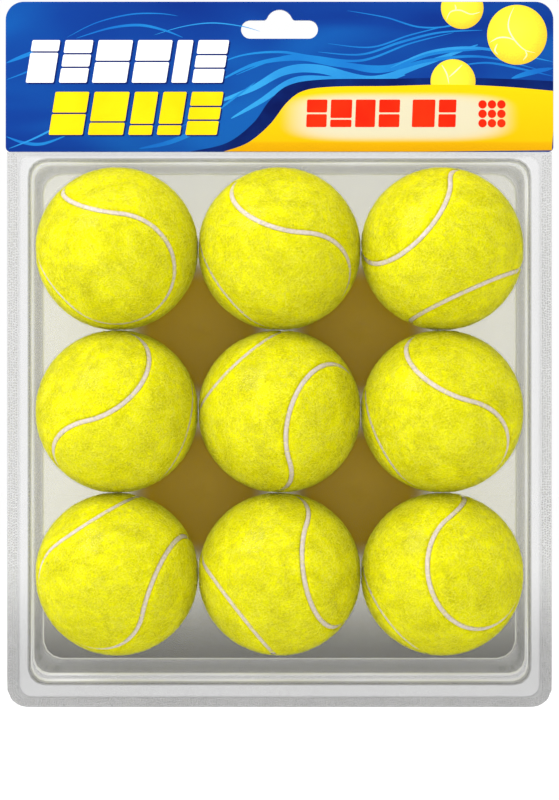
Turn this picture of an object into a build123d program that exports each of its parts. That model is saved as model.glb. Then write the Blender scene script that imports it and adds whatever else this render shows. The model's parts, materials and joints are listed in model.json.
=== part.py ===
from build123d import *
import math
import os

# A hanging blister pack of nine tennis balls: a clear tray and a clear cover sealed round
# their edge, with a printed card on each side of the header tab.
# Millimetres. +Z is up, the front faces -Y. The origin is where a peg bears: the top of the
# hang slot, in the plane where the two clear sheets meet.

# Balls
ball_radius = 33.5
core_radius = 30.2
core_bore_radius = 26.9
seam_width = 2.4
seam_recess = 0.5
lobe_angle = 48.0          # half-angle, at the ball's centre, of each of the seam's four arcs
cone_tip_radius = 0.0001   # the seam's cones are all but pointed
column_pitch = 67.3
row_heights = [-98.9, -166.2, -233.5]
ball_turns = [             # each ball lies in its pocket at its own turn, degrees
    (-16, -60, 54), (26, -60, 85), (123, -25, -140),
    (29, 47, -74), (-144, -11, -142), (17, -50, -104),
    (16, 35, 70), (140, 10, -65), (134, -16, 133),
]

# Clear sheets
sheet = 0.5
pack_width = 225.4
pack_top = 2.9
pack_bottom = -288.6
pack_top_radius = 7.2
pack_bottom_radius = 8.3

# Cover: two small steps inside the seal band, then nine domes
cover_steps = [            # width, bottom, top, corner radius, height in front of the seal plane
    (215.4, -284.3, -60.4, 5.2, 1.5),
    (207.4, -278.8, -62.4, 6.5, 3.0),
]
dome_clearance = 0.45
cover_dimple_radius = 2.4
web_margin = 1.1           # from the inner step's outside to where the domes' cells begin
sheet_room = 5.0           # more than the header's depth, either side of the seal plane

# Tray: an upper and a lower box, each drafted, with a ledge between them
upper_box = [              # width, bottom, top, corner radius, depth behind the seal plane
    (207.8, -279.2, -61.9, 7.0, 0.0),
    (206.4, -278.4, -62.7, 6.6, 7.0),
]
lower_box = [
    (204.0, -275.0, -63.9, 6.6, 7.0),
    (199.8, -270.8, -66.2, 8.3, 31.5),
]
seat_mouth_radius = 14.0
seat_floor_radius = 10.0
seat_depth = 2.5
tray_nipple_radius = 2.2

# Header cards
card_thickness = 0.45
card_width = 226.6
card_top = 3.3
card_bottom = -58.8
card_top_radius = 7.5
card_bottom_radius = 2.0

# Hang slot: a long round-ended slot with a round crown over its middle
slot_length = 31.8
slot_height = 7.6
slot_centre_height = -8.2
crown_radius = 5.5
crown_shoulder_radius = 1.6

tray_floor_depth = lower_box[1][4]
column_places = [-column_pitch, 0.0, column_pitch]
ball_centres = [(x, z) for z in row_heights for x in column_places]
gap_centres = [
    (x, (row_heights[k] + row_heights[k + 1]) / 2)
    for k in (0, 1)
    for x in (-column_pitch / 2, column_pitch / 2)
]


def rounded_outline(width, bottom, top, bottom_radius, top_radius):
    # A rectangle about the pack's centre line, with its own radius above and below.
    outline = Pos(0, (bottom + top) / 2) * Rectangle(width, top - bottom)
    outline = fillet(outline.vertices().group_by(Axis.Y)[0], bottom_radius)
    return fillet(outline.vertices().group_by(Axis.Y)[-1], top_radius)


def slab(outline, y_back, y_front):
    # The outline, drawn as seen from the front, made solid between two depths.
    return extrude(Plane.XZ.offset(-y_back) * outline, amount=y_back - y_front)


def box_between(levels, growth, depth_growth):
    # A drafted box between two rounded rectangles; growth moves its walls outwards.
    faces = []
    for k, (width, bottom, top, radius, depth) in enumerate(levels):
        outline = rounded_outline(
            width + 2 * growth, bottom - growth, top + growth, radius + growth, radius + growth
        )
        y = depth + (depth_growth if k else 0)
        faces.append(Plane.XZ.offset(-y) * outline)
    return loft(faces, ruled=True)


def hang_slot():
    # The punched hole, with small rounds where the crown meets the slot.
    slot = Pos(0, slot_centre_height) * SlotOverall(slot_length, slot_height)
    crown = Pos(0, -crown_radius) * Circle(crown_radius)
    shape = slot + crown
    slot_top = slot_centre_height + slot_height / 2
    corners = shape.vertices().filter_by(
        lambda v: abs(v.Y - slot_top) < 0.01 and abs(v.X) < crown_radius
    )
    return fillet(corners, crown_shoulder_radius)


def punch(thickness_from, thickness_to):
    return slab(hang_slot(), thickness_to, thickness_from)


def web_block():
    # Everything inside the cover's inner step, where the domes stand.
    width, bottom, top, radius, _ = cover_steps[-1]
    outline = rounded_outline(
        width - 2 * web_margin, bottom + web_margin, top - web_margin,
        radius - web_margin, radius - web_margin,
    )
    return slab(outline, 1, -2 * ball_radius)


def dome_cell_box(x, z):
    # The block between the middle planes round one dome, or past the sheet at the outside.
    to_edge = 2 * column_pitch
    left = -to_edge if x == column_places[0] else x - column_pitch / 2
    right = to_edge if x == column_places[-1] else x + column_pitch / 2
    low = z - to_edge if z == row_heights[-1] else z - column_pitch / 2
    high = z + to_edge if z == row_heights[0] else z + column_pitch / 2
    centre = Pos((left + right) / 2, 0, (low + high) / 2)
    return centre * Box(right - left, 5 * ball_radius, high - low)


def above_card_edge():
    # The block that holds the header tab, above the cards' lower edge.
    height = pack_top - card_bottom
    return Pos(0, 0, card_bottom + height) * Box(2 * pack_width, 2 * sheet_room, 2 * height)


def dome_spheres(radius):
    # One sphere at each ball's place, with its pole pointing forwards.
    turn = Rot(90, 0, 0) * Rot(0, 0, 45)
    spheres = [Pos(x, 0, z) * turn * Sphere(radius) for x, z in ball_centres]
    return spheres[0].fuse(*spheres[1:])


def sheet_blank(y_back, y_front):
    outline = rounded_outline(
        pack_width, pack_bottom, pack_top, pack_bottom_radius, pack_top_radius
    )
    return slab(outline, y_back, y_front)


def formed_cover():
    solid = sheet_blank(0, -sheet)
    hollow = dome_spheres(ball_radius + dome_clearance)
    for width, bottom, top, radius, height in cover_steps:
        outline = rounded_outline(width, bottom, top, radius, radius)
        inner = rounded_outline(
            width - 2 * sheet, bottom + sheet, top - sheet, radius - sheet, radius - sheet
        )
        solid += slab(outline, 0, -height - sheet)
        hollow += slab(inner, 0, -height)
    solid += dome_spheres(ball_radius + dome_clearance + sheet)
    back_half = Pos(0, ball_radius, (pack_top + pack_bottom) / 2) * Box(
        pack_width, 2 * ball_radius, pack_top - pack_bottom
    )
    shell = solid - back_half - hollow
    web_depth = cover_steps[-1][4]
    for x, z in gap_centres:
        place = Pos(x, -web_depth - sheet / 2, z)
        shell += place * Sphere(cover_dimple_radius + sheet)
        shell -= place * Sphere(cover_dimple_radius)
        front = Pos(x, -web_depth - sheet - ball_radius / 2, z) * Box(
            8 * sheet + 2 * cover_dimple_radius, ball_radius, 8 * sheet + 2 * cover_dimple_radius
        )
        shell -= front
    return shell - punch(-sheet - 1, 1)


def formed_tray():
    solid = sheet_blank(sheet, 0)
    solid += box_between(upper_box, sheet, sheet)
    solid += box_between(lower_box, sheet, sheet)
    hollow = [box_between(upper_box, 0, 0), box_between(lower_box, 0, 0)]
    backwards = Rot(-90, 0, 0)
    at_start = (Align.CENTER, Align.CENTER, Align.MIN)
    for x, z in ball_centres:
        place = Pos(x, tray_floor_depth, z) * backwards
        solid += place * Cone(
            seat_mouth_radius + sheet, seat_floor_radius + sheet, seat_depth + sheet, align=at_start
        )
        hollow.append(
            place * Cone(seat_mouth_radius, seat_floor_radius, seat_depth, align=at_start)
        )
    for x, z in gap_centres:
        place = Pos(x, tray_floor_depth, z) * Rot(90, 0, 0)
        solid += place * Sphere(tray_nipple_radius + sheet)
        hollow.append(place * Sphere(tray_nipple_radius))
    for piece in hollow:
        solid -= piece
    front_side = Pos(0, -tray_floor_depth, (pack_top + pack_bottom) / 2) * Box(
        pack_width, 2 * tray_floor_depth, pack_top - pack_bottom
    )
    return solid - front_side - punch(-1, sheet + 1)


def cover_pieces():
    # One formed sheet, parted into the header tab, the stepped rim and a square cell round
    # each dome, so that each piece is a simple shape.
    cover = formed_cover()
    tab_block = above_card_edge()
    below = cover - tab_block
    domes = below & web_block()
    pieces = {"front_tab": cover & tab_block, "front_shell": below - web_block()}
    for number, (x, z) in enumerate(ball_centres, start=1):
        pieces[f"dome_{number}"] = domes & dome_cell_box(x, z)
    return pieces


def tray_pieces():
    tray = formed_tray()
    return {"back_tab": tray & above_card_edge(), "back_shell": tray - above_card_edge()}


def header_card(y_back, y_front):
    outline = rounded_outline(
        card_width, card_bottom, card_top, card_bottom_radius, card_top_radius
    )
    return slab(outline, y_back, y_front) - punch(y_front - 1, y_back + 1)


def core_half(up):
    # Half of the hollow rubber ball, on one side of its moulding line.
    ring = Circle(core_radius) - Circle(core_bore_radius)
    quarter = ring & (Pos(core_radius / 2, core_radius / 2) * Rectangle(core_radius, core_radius))
    half = revolve(Plane.XZ * quarter, Axis.Z)
    return half if up else Rot(180, 0, 0) * half


def seam_cone(quarter, half_angle):
    # The seam's closed path is four circular arcs on the ball, tangent where they meet. Each
    # arc lies on a cone from the ball's centre: two lean up and two, a quarter turn round, down.
    tilt = math.asin(math.sqrt(-math.cos(2 * math.radians(lobe_angle))))
    turn = math.radians(90 * quarter)
    side = 1 if quarter % 2 else -1
    height = 1.2 * ball_radius
    cone = Cone(
        cone_tip_radius,
        height * math.tan(math.radians(half_angle)),
        height,
        align=(Align.CENTER, Align.CENTER, Align.MIN),
    )
    axis = (
        math.cos(tilt) * math.cos(turn),
        math.cos(tilt) * math.sin(turn),
        side * math.sin(tilt),
    )
    return Plane(origin=(0, 0, 0), z_dir=axis) * cone


def half_layer(inner_radius, outer_radius, side):
    # A hollow half ball, above (side 1) or below (side -1) the plane through the arcs' ends. Its
    # spheres' poles lie on Y, in the cut-away part of both panels, and their seam on the far side.
    turned = Plane(origin=(0, 0, 0), x_dir=(0, 0, -side), z_dir=(0, 1, 0))
    half = Pos(0, 0, side * outer_radius) * Box(
        2 * outer_radius, 2 * outer_radius, 2 * outer_radius
    )
    return (turned * Sphere(outer_radius) - turned * Sphere(inner_radius)) & half


def felt_panel():
    # The dog-bone panel: a neck over the top between two cones, and a lobe down each side.
    half_width = math.degrees(seam_width / 2 / ball_radius)
    neck = half_layer(core_radius, ball_radius, 1)
    for quarter in (1, 3):
        neck -= seam_cone(quarter, lobe_angle + half_width)
    lower = half_layer(core_radius, ball_radius, -1)
    lobes = [lower & seam_cone(quarter, lobe_angle - half_width) for quarter in (0, 2)]
    return neck.fuse(*lobes)


def seam_bead():
    half_width = math.degrees(seam_width / 2 / ball_radius)
    arcs = []
    for quarter in range(4):
        layer = half_layer(core_radius, ball_radius - seam_recess, 1 if quarter % 2 else -1)
        wide = layer & seam_cone(quarter, lobe_angle + half_width)
        arcs.append(wide - seam_cone(quarter, lobe_angle - half_width))
    return arcs[0].fuse(*arcs[1:])


def ball_pieces():
    panel = felt_panel()
    return {
        "core_a": core_half(True),
        "core_b": core_half(False),
        "felt_a": panel,
        "felt_b": panel.rotate(Axis((0, 0, 0), (1, 1, 0)), 180),
        "seam": seam_bead(),
    }


def main():
    os.makedirs("parts", exist_ok=True)
    nodes = {
        **tray_pieces(),
        **cover_pieces(),
        "header_front": header_card(-sheet, -sheet - card_thickness),
        "header_rear": header_card(sheet + card_thickness, sheet),
    }
    pieces = ball_pieces()
    for number, ((x, z), turn) in enumerate(zip(ball_centres, ball_turns), start=1):
        for name, piece in pieces.items():
            nodes[f"ball_{number}_{name}"] = Pos(x, 0, z) * Rot(*turn) * piece
    for name, shape in nodes.items():
        export_step(shape, f"parts/{name}.step")
        print(name, round(shape.volume, 1))


main()
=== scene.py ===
import json
import math
import bpy
import bmesh
import numpy as np
from mathutils import Euler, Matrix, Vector


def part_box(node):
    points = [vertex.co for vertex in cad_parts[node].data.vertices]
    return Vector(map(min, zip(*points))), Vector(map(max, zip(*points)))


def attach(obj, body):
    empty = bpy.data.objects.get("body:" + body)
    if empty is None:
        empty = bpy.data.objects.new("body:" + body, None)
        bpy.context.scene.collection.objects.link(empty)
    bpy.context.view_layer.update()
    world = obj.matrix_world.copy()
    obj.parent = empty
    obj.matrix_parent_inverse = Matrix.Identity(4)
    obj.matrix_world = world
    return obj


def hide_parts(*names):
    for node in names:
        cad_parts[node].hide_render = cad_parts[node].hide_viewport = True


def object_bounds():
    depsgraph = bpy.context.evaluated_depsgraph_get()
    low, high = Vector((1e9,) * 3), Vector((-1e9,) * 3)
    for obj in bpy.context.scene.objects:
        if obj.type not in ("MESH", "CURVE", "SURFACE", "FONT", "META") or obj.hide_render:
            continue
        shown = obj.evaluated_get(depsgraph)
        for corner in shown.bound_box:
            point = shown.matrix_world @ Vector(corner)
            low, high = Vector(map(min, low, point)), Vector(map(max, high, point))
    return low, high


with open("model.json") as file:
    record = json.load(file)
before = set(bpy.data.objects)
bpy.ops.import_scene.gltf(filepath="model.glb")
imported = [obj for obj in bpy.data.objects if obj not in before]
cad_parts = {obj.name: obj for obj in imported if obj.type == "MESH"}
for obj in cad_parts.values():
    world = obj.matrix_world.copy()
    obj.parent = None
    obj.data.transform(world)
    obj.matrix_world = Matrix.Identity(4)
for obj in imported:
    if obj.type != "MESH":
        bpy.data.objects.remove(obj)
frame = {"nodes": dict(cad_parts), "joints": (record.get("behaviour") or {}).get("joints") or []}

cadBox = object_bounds()
print("pack loaded")

mm = 0.001
tabNodes = ["front_tab", "back_tab"]

# where things are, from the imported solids, in millimetres
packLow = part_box("front_shell")[0] / mm
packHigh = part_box(tabNodes[0])[1] / mm
cardLow, cardHigh = [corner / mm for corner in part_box("header_front")]

# each ball's centre is where its joint turns
ballPlaces = {
    int(joint["name"].split("_")[1]): Vector(joint["pos_m"]) / mm
    for joint in frame["joints"] if joint["name"].startswith("ball_")
}
ballPitch = ballPlaces[5].x - ballPlaces[4].x
ballRadius = 33.5


# small helpers for shader trees and meshes

def setSockets(node, values):
    for socket, value in values.items():
        node.inputs[socket].default_value = value


def addNode(tree, kind, values=None, **settings):
    node = tree.nodes.new(kind)
    for key, value in settings.items():
        setattr(node, key, value)
    setSockets(node, values or {})
    return node


def chain(tree, source, *nodes):
    # each output goes into the next node's first input
    for node in nodes:
        tree.links.new(source, node.inputs[0])
        source = node.outputs[0]
    return source


def blankMaterial(name):
    material = bpy.data.materials.new(name)
    material.use_nodes = True
    return material, material.node_tree, material.node_tree.nodes["Principled BSDF"]


def objectPlace(tree):
    return addNode(tree, "ShaderNodeTexCoord").outputs["Object"]


def addNoise(tree, place, scale, detail, distortion=0.0):
    noise = addNode(
        tree, "ShaderNodeTexNoise", {"Scale": scale, "Detail": detail, "Distortion": distortion}
    )
    tree.links.new(place, noise.inputs["Vector"])
    return noise.outputs[0]


def addBump(tree, height, strength, distance):
    bump = addNode(tree, "ShaderNodeBump", {"Strength": strength, "Distance": distance})
    tree.links.new(height, bump.inputs["Height"])
    return bump.outputs[0]


def addRamp(tree, source, stops):
    ramp = addNode(tree, "ShaderNodeValToRGB")
    elements = ramp.color_ramp.elements
    while len(elements) < len(stops):
        elements.new(0.5)
    for element, (position, colour) in zip(elements, stops):
        element.position = position
        element.color = (*colour, 1)
    tree.links.new(source, ramp.inputs[0])
    return ramp.outputs[0]


def placeMesh(name, mesh, body, materials):
    # puts a mesh in the scene, on its body and in its material slot
    piece = bpy.data.objects.new(name, mesh)
    bpy.context.scene.collection.objects.link(piece)
    for material in materials:
        mesh.materials.append(material)
    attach(piece, body)
    return piece


def addPiece(name, points, faces, body, material):
    mesh = bpy.data.meshes.new(name)
    mesh.from_pydata([tuple(c * mm for c in p) for p in points], [], faces)
    mesh.update()
    for polygon in mesh.polygons:
        polygon.use_smooth = True
    return placeMesh(name, mesh, body, [material])


def recolour(nodes, material):
    for node in nodes:
        piece = frame["nodes"][node]
        piece.data.materials.clear()
        piece.data.materials.append(material)


def applyModifiers(piece):
    bpy.context.view_layer.update()
    graph = bpy.context.evaluated_depsgraph_get()
    made = bpy.data.meshes.new_from_object(piece.evaluated_get(graph))
    old = piece.data
    piece.modifiers.clear()
    piece.data = made
    bpy.data.meshes.remove(old)


# felt balls

ballLook = {
    "turns": {
        1: (-16, -60, 54), 2: (26, -60, 85), 3: (123, -25, -140),
        4: (29, 47, -74), 5: (-144, -11, -142), 6: (17, -50, -104),
        7: (16, 35, 70), 8: (140, 10, -65), 9: (134, -16, 133),
    },
    "lobeAngle": 48.0,
    "grooveDepth": 1.0,        # millimetres below the felt
    "beadHalfWidth": 0.82,
    "beadTop": 0.45,           # how far the bead's crown lies below the felt
    "shoulder": 2.5,           # how far from the seam the felt is back at its full height
    "puff": 0.16,
    "fibres": 13000,
    "fibreLength": (1.6, 4.2),
    "fibreWidth": 0.19,
    "fibreLift": 0.42,
    "rootDepth": 0.12,
    "bareStrip": 0.9,          # no fibre grows this close to the bead
    "feltReach": 0.2,          # how far felt and fibres may stand out past the ball's radius
    "fibreReach": 0.3,
    "brushRadius": 33.6,       # half the space between two balls' centres, less a little
}


def seamPath():
    # the closed path as unit vectors: four arcs on cones from the ball's centre
    half = math.radians(ballLook["lobeAngle"])
    tilt = math.asin(math.sqrt(-math.cos(2 * half)))
    reach = math.pi - math.atan(1 / math.sin(tilt))
    path = []
    for quarter in range(4):
        turn = math.radians(90 * quarter)
        side = 1 if quarter % 2 else -1
        flat = Vector((math.cos(turn), math.sin(turn), 0))
        axis = flat * math.cos(tilt) + Vector((0, 0, side * math.sin(tilt)))
        up = flat * -math.sin(tilt) + Vector((0, 0, side * math.cos(tilt)))
        across = up.cross(axis) * side
        for step in range(90):
            a = -reach + 2 * reach * step / 90
            spoke = up * math.cos(a) + across * math.sin(a)
            path.append(axis * math.cos(half) + spoke * math.sin(half))
    return np.array(path)


def smoothStep(value):
    value = np.clip(value, 0, 1)
    return value * value * (3 - 2 * value)


def waveNoise(points, seed, size, octaves):
    # cheap smooth noise: sums of turned sine waves, repeatable from its seed
    rng = np.random.default_rng(seed)
    total = np.zeros(len(points))
    for octave in range(octaves):
        scale = 2 ** octave / size
        for wave in range(7):
            direction = rng.normal(size=3)
            direction /= np.linalg.norm(direction)
            phase = rng.uniform(0, 6.28)
            bend = np.sin(points @ rng.normal(size=3) * scale * 0.7 + phase * 3)
            total += np.sin(points @ direction * scale * 6.28 + phase + bend) * 0.6 ** octave
    return total / 7


def ballTemplate():
    mesh = bmesh.new()
    bmesh.ops.create_icosphere(mesh, subdivisions=7, radius=1)
    points = np.array([v.co[:] for v in mesh.verts])
    faces = [[v.index for v in f.verts] for f in mesh.faces]
    mesh.free()
    points /= np.linalg.norm(points, axis=1)[:, None]
    path = seamPath()
    near = np.zeros(len(points))
    batch = 8000              # keeps the table of distances small
    for start in range(0, len(points), batch):
        near[start:start + batch] = (points[start:start + batch] @ path.T).max(axis=1)
    distance = np.arccos(np.clip(near, -1, 1)) * ballRadius
    return points, faces, distance


feltPoints, feltFaces, seamDistance = ballTemplate()
ballSeam = seamPath()


def feltMaterial(name, low, high):
    # fine curls over broader clouds of tone that differs at random; the darker colour in the curls'
    # hollows is painted shade
    material, tree, shader = blankMaterial(name)
    place = objectPlace(tree)
    curls = addNoise(tree, place, 620, 5, 2.6)
    clouds = addNoise(tree, place, 95, 3, 0.8)
    fine = addNode(tree, "ShaderNodeMath", {1: 0.62, 2: 0.19}, operation="MULTIPLY_ADD")
    broad = addNode(tree, "ShaderNodeMath", {1: 0.4}, operation="MULTIPLY")
    both = addNode(tree, "ShaderNodeMath", operation="ADD")
    tree.links.new(chain(tree, clouds, broad), both.inputs[1])
    colour = addRamp(tree, chain(tree, curls, fine, both), [(0.48, low), (0.80, high)])
    tree.links.new(colour, shader.inputs["Base Color"])
    tree.links.new(addBump(tree, curls, 0.55, 0.0006), shader.inputs["Normal"])
    setSockets(shader, {
        "Roughness": 0.95, "Specular IOR Level": 0.04,
        "Sheen Weight": 0.6, "Sheen Roughness": 0.4, "Sheen Tint": (1.0, 0.93, 0.01, 1),
    })
    return material


def beadMaterial():
    material, tree, shader = blankMaterial("seamGlue")
    grain = addNoise(tree, objectPlace(tree), 900, 4)
    colour = addRamp(tree, grain, [(0.3, (0.50, 0.43, 0.37)), (0.7, (0.68, 0.60, 0.54))])
    tree.links.new(colour, shader.inputs["Base Color"])
    tree.links.new(addBump(tree, grain, 0.3, 0.0003), shader.inputs["Normal"])
    shader.inputs["Roughness"].default_value = 0.7
    return material


def rubberMaterial():
    material, tree, shader = blankMaterial("coreRubber")
    grain = addNoise(tree, objectPlace(tree), 400, 4)
    colour = addRamp(tree, grain, [(0.3, (0.02, 0.02, 0.022)), (0.7, (0.05, 0.05, 0.046))])
    tree.links.new(colour, shader.inputs["Base Color"])
    shader.inputs["Roughness"].default_value = 0.8
    return material


felt = feltMaterial("yellowFelt", (0.40, 0.37, 0.0002), (0.82, 0.79, 0.001))
nap = feltMaterial("yellowNap", (0.84, 0.82, 0.004), (0.98, 0.97, 0.11))
seamGlue = beadMaterial()
coreRubber = rubberMaterial()


def feltHeight(distance):
    # from the groove's floor up the felt's cut edge to a soft puffed shoulder
    edge = ballLook["beadHalfWidth"]
    rise = smoothStep((distance - edge) / 0.75)
    puff = np.exp(-((distance - edge - ballLook["shoulder"] * 0.75) / 1.3) ** 2) * ballLook["puff"]
    settle = smoothStep((distance - edge) / ballLook["shoulder"]) * 0.22 - 0.22
    return -ballLook["grooveDepth"] * (1 - rise) + settle + puff


def keepClear(points, widest):
    # press the felt flat where a turning ball would brush its neighbours, the dome or the seat
    wide = np.hypot(points[:, 0], points[:, 1])
    points[:, :2] *= np.minimum(1, ballLook["brushRadius"] / wide)[:, None]
    points[:, 2] = np.clip(points[:, 2], -ballLook["brushRadius"], ballLook["brushRadius"])
    far = np.linalg.norm(points, axis=1)
    return points * np.minimum(1, widest / far)[:, None]


def makeFelt(number, matrix, centre):
    height = feltHeight(seamDistance)
    shaggy = smoothStep((seamDistance - 1.0) / 1.5)
    height = height + shaggy * (
        waveNoise(feltPoints, number, 0.6, 2) * 0.10
        + waveNoise(feltPoints, 40 + number, 0.10, 2) * 0.075
    )
    points = feltPoints * (ballRadius - 0.1 + height)[:, None]
    points = keepClear(points @ matrix.T, ballRadius + ballLook["feltReach"]) + centre
    piece = addPiece(
        "ball%dFelt" % number, points.tolist(), feltFaces, "ball_%d" % number, felt
    )
    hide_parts("ball_%d_felt_a" % number, "ball_%d_felt_b" % number)


def makeBead(number, matrix, centre):
    # a flat-bottomed strip with a crowned top, swept round the seam's path
    count = len(ballSeam)
    ahead = np.roll(ballSeam, -1, axis=0) - np.roll(ballSeam, 1, axis=0)
    ahead /= np.linalg.norm(ahead, axis=1)[:, None]
    side = np.cross(ballSeam, ahead)
    half = ballLook["beadHalfWidth"] + 0.12
    top = ballRadius - ballLook["beadTop"]
    section = [(-half, top - 0.75), (-half, top - 0.22), (-half * 0.62, top - 0.05), (0, top),
               (half * 0.62, top - 0.05), (half, top - 0.22), (half, top - 0.75)]
    uneven = waveNoise(ballSeam, 70 + number, 0.12, 2) * 0.05
    rings = [
        ballSeam * (radius + (uneven if radius > top - 0.5 else 0 * uneven))[:, None]
        + side * (offset * (1 + uneven))[:, None]
        for offset, radius in section
    ]
    points = np.concatenate(rings) @ matrix.T + centre
    faces = []
    for lane in range(len(section)):
        following = (lane + 1) % len(section)
        for i in range(count):
            j = (i + 1) % count
            faces.append((lane * count + i, lane * count + j,
                          following * count + j, following * count + i))
    piece = addPiece(
        "ball%dSeam" % number, points.tolist(), faces, "ball_%d" % number, seamGlue
    )
    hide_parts("ball_%d_seam" % number)


def makeNap(number, matrix, centre):
    # short curled fibres that lie almost flat, each a closed three-sided needle
    rng = np.random.default_rng(200 + number)
    count = ballLook["fibres"]
    normal = rng.normal(size=(count, 3))
    normal /= np.linalg.norm(normal, axis=1)[:, None]
    near = np.concatenate([(part @ ballSeam.T).max(axis=1) for part in np.array_split(normal, 8)])
    gap = np.arccos(np.clip(near, -1, 1)) * ballRadius
    normal = normal[gap > ballLook["beadHalfWidth"] + ballLook["bareStrip"]]
    count = len(normal)
    tangent = np.cross(normal, rng.normal(size=(count, 3)))
    tangent /= np.linalg.norm(tangent, axis=1)[:, None]
    across = np.cross(normal, tangent)
    length = rng.uniform(*ballLook["fibreLength"], size=count)[:, None]
    curl = rng.uniform(-0.9, 0.9, size=count)[:, None]
    lift = (rng.uniform(0.05, 1.0, size=count) ** 2 * ballLook["fibreLift"])[:, None]
    width = ballLook["fibreWidth"] * rng.uniform(0.6, 1.3, size=count)[:, None]
    root = normal * (ballRadius - ballLook["rootDepth"])
    middle = root + tangent * length * 0.5 + across * curl * length * 0.2 + normal * (lift + 0.14)
    tip = root + tangent * length * 0.9 + across * curl * length * 0.55 + normal * (lift * 0.8 + 0.1)
    corners = [(1, 0), (-0.5, 0.87), (-0.5, -0.87)]
    low = [root + across * width * a / 2 + normal * width * b / 2 for a, b in corners]
    mid = [middle + across * width * a / 2.4 + normal * width * b / 2.4 for a, b in corners]
    points = np.concatenate(low + mid + [tip]) @ matrix.T
    points = keepClear(points, ballRadius + ballLook["fibreReach"]) + centre
    index = np.arange(count)
    loops = []
    for a, b in ((0, 1), (1, 2), (2, 0)):
        loops.append(np.stack([index + a * count, index + b * count,
                               index + (3 + b) * count, index + (3 + a) * count], axis=1))
    faces = np.concatenate(loops).tolist()
    for a, b in ((0, 1), (1, 2), (2, 0)):
        faces += np.stack([index + (3 + a) * count, index + (3 + b) * count,
                           index + 6 * count], axis=1).tolist()
    faces += np.stack([index + 2 * count, index + count, index], axis=1).tolist()
    addPiece(
        "ball%dNap" % number, points.tolist(), faces, "ball_%d" % number, nap
    )


for number, place in ballPlaces.items():
    turn = Euler([math.radians(a) for a in ballLook["turns"][number]], "XYZ")
    # the turns are about the ball's own axes, X then Y then Z
    rx, ry, rz = [np.array(Euler(angles, "XYZ").to_matrix()) for angles in (
        (turn.x, 0, 0), (0, turn.y, 0), (0, 0, turn.z))]
    matrix = rx @ ry @ rz
    centre = np.array(place)
    makeFelt(number, matrix, centre)
    makeBead(number, matrix, centre)
    makeNap(number, matrix, centre)
    recolour(["ball_%d_core_a" % number, "ball_%d_core_b" % number], coreRubber)
print("balls made")


# clear sheets

sheetThickness = 0.5
bendWidth = 0.4
cellRays = 112            # a multiple of 8, so that a ray meets each cell's corner
cellSteps = 46


def insetOutline(side, bottom, top, lowRadius, highRadius):
    # a rounded rectangle, set in from the pack's sides, bottom and top
    return {
        "half": packHigh.x - side,
        "low": packLow.z + bottom,
        "high": packHigh.z - top,
        "lowRadius": lowRadius,
        "highRadius": highRadius,
    }


def outlineGap(outline, x, z):
    # how far inside the rounded rectangle a point is, below 0 outside
    radius = outline["highRadius"] if z > (outline["low"] + outline["high"]) / 2 else outline["lowRadius"]
    middle = (outline["low"] + outline["high"]) / 2
    a = abs(x) - (outline["half"] - radius)
    b = abs(z - middle) - ((outline["high"] - outline["low"]) / 2 - radius)
    return radius - math.hypot(max(a, 0), max(b, 0)) - min(max(a, b), 0)


def rayToOutline(outline, x, z, dx, dz):
    near, far = 0.0, 400.0
    for _ in range(40):
        middle = (near + far) / 2
        if outlineGap(outline, x + dx * middle, z + dz * middle) > 0:
            near = middle
        else:
            far = middle
    return near


def outlineMove(base, target, x, z):
    # the point of the target outline that stands for a point of the base outline
    top = z > (base["low"] + base["high"]) / 2
    key = "highRadius" if top else "lowRadius"
    side = 1 if x > 0 else -1
    radius, wanted = base[key], target[key]
    cornerX = base["half"] - radius
    cornerZ = base["high"] - radius if top else base["low"] + radius
    newX = target["half"] - wanted
    newZ = target["high"] - wanted if top else target["low"] + wanted
    up = 1 if top else -1
    if abs(x) > cornerX and (z - cornerZ) * up > 0:
        angle = math.atan2((z - cornerZ) * up, abs(x) - cornerX)
        return side * (newX + wanted * math.cos(angle)), newZ + up * wanted * math.sin(angle)
    if (z - cornerZ) * up > 0:
        return x * newX / cornerX, newZ + up * wanted
    lowCorner = base["low"] + base["lowRadius"]
    share = (z - lowCorner) / (base["high"] - base["highRadius"] - lowCorner)
    newLow = target["low"] + target["lowRadius"]
    return side * target["half"], newLow + share * (target["high"] - target["highRadius"] - newLow)


def domeProfile(reach, look):
    # from the dome's tip down its sphere, round the fillet, then out along the flat web;
    # where two domes meet first, the fillet bridges the valley between them
    radius, web, fillet = look["radius"], look["web"], look["fillet"]
    span = radius + fillet
    centreX = math.sqrt(span ** 2 - (web + fillet) ** 2)
    centreY = web + fillet
    if reach < centreX:
        centreX = reach
        centreY = math.sqrt(span ** 2 - reach ** 2)
    slope = math.asin(centreX / span)
    # the steps lie closer together on the fillet and the web than on the dome
    webShare = 1.6
    stretches = [radius * slope, fillet * slope * 7, (reach - centreX) * webShare]
    total = sum(stretches)
    profile = []
    for step in range(1, cellSteps + 1):
        along = total * step / cellSteps
        if along <= stretches[0]:
            a = along / radius
            profile.append((radius * math.sin(a), -radius * math.cos(a)))
        elif along <= stretches[0] + stretches[1] and stretches[1] > 0:
            a = slope * (1 - (along - stretches[0]) / stretches[1])
            profile.append((centreX - fillet * math.sin(a), -centreY + fillet * math.cos(a)))
        else:
            rest = (along - stretches[0] - stretches[1]) / webShare
            profile.append((min(centreX + rest, reach), -(centreY - fillet)))
    profile[-1] = (reach, profile[-1][1])
    return (0, -radius), profile


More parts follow.
